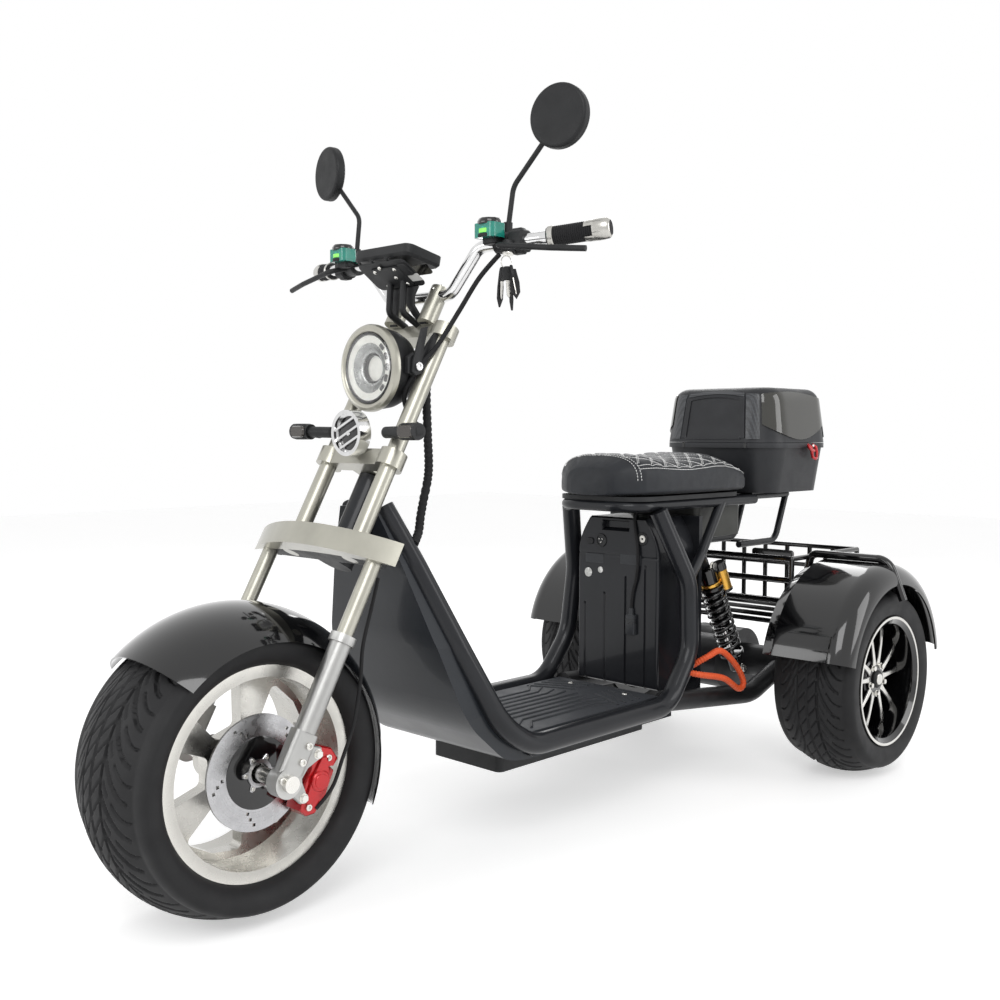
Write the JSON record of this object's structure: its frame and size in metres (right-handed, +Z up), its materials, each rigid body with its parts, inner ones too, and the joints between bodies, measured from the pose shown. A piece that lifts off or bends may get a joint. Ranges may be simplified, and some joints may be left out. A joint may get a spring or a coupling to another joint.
{
  "type": "motorized trike",
  "caption": "Three-wheeled motor trike with a raked fork, fat tyres, stepped floor, solo seat, lidded top box, rear basket and open shocks.",
  "frame": {"origin": "floor point midway between the front tyre's tread and the basket's rear rail, on the centre plane", "axes": "+X forward, +Y to the rider's left, +Z up"},
  "size_m": [1.927, 0.9474, 1.344],
  "materials": {
    "black_gloss": "gloss black",
    "black_metal": "satin black",
    "black_plastic": "matt",
    "black_wheel": "gloss black lacquer",
    "body_blue": "satin charcoal blue",
    "box_grey": "fine texture",
    "cast_wheel": "polished cast",
    "chrome": "polished",
    "fork_silver": "satin champagne silver",
    "lamp_red": "red lens",
    "lens": "smoked clear",
    "red": "gloss red",
    "reservoir_green": "translucent green",
    "rubber": "matt",
    "seat_leather": "satin with white stitching",
    "steel": "brushed",
    "tyre_rubber": "matt"
  },
  "bodies": {
    "chassis": {"main_frame": "black_metal", "body_shell": "body_blue", "floor_mat": "rubber", "under_tray": "black_metal", "battery": "black_plastic", "battery_back": "black_metal", "seat_rail": "black_metal", "under_seat_box": "black_plastic", "drive_motor": "black_metal", "axle_housing": "black_metal", "rear_axle": "steel", "shocks": "black_metal", "fender_left": "black_gloss", "fender_right": "black_gloss", "fender_hoops": "black_metal", "basket": "black_metal", "box_rack": "black_metal", "box_base": "box_grey", "tail_lamp": "lamp_red"},
    "steering": {"upper_tubes": "fork_silver", "top_clamp": "fork_silver", "mid_clamp": "fork_silver", "lower_clamp": "black_metal", "fork_cover": "fork_silver", "stanchions": "chrome", "lower_legs": "fork_silver", "front_axle": "steel", "caliper": "red", "front_fender": "black_gloss", "handlebar": "chrome", "grips": "rubber", "levers": "black_metal", "reservoirs": "reservoir_green", "mirrors": "black_plastic", "display": "black_plastic", "display_bracket": "black_metal", "headlight_bowl": "black_gloss", "headlight_lens": "lens", "horn": "chrome", "turn_signals": "black_plastic"},
    "front_wheel": {"front_tyre": "tyre_rubber", "front_rim": "cast_wheel", "front_disc": "steel"},
    "rear_wheel_left": {"rear_tyre_left": "tyre_rubber", "rear_rim_left": "black_wheel"},
    "rear_wheel_right": {"rear_tyre_right": "tyre_rubber", "rear_rim_right": "black_wheel"},
    "seat": {"seat_pan": "black_metal", "seat_cushion": "seat_leather"},
    "top_box_lid": {"box_lid": "box_grey", "lid_latch": "red"}
  },
  "joints": [
    {"name": "steering", "type": "hinge", "parent": "chassis", "child": "steering", "pos_m": [0.5048, 0, 0.55284], "axis": [-0.4848, 0, 0.8746], "range_deg": [-35, 35]},
    {"name": "front_wheel_spin", "type": "hinge", "parent": "steering", "child": "front_wheel", "pos_m": [0.7245, 0, 0.239], "axis": [0, 1, 0], "continuous": true},
    {"name": "rear_wheel_left_spin", "type": "hinge", "parent": "chassis", "child": "rear_wheel_left", "pos_m": [-0.7055, 0.349, 0.216], "axis": [0, 1, 0], "continuous": true},
    {"name": "rear_wheel_right_spin", "type": "hinge", "parent": "chassis", "child": "rear_wheel_right", "pos_m": [-0.7055, -0.349, 0.216], "axis": [0, 1, 0], "continuous": true},
    {"name": "seat_tilt", "type": "hinge", "parent": "chassis", "child": "seat", "pos_m": [-0.1865, 0, 0.614], "axis": [0, 1, 0], "range_deg": [0, 70]},
    {"name": "lid_open", "type": "hinge", "parent": "chassis", "child": "top_box_lid", "pos_m": [-0.6415, 0, 0.748], "axis": [0, 1, 0], "range_deg": [0, 85]}
  ]
}
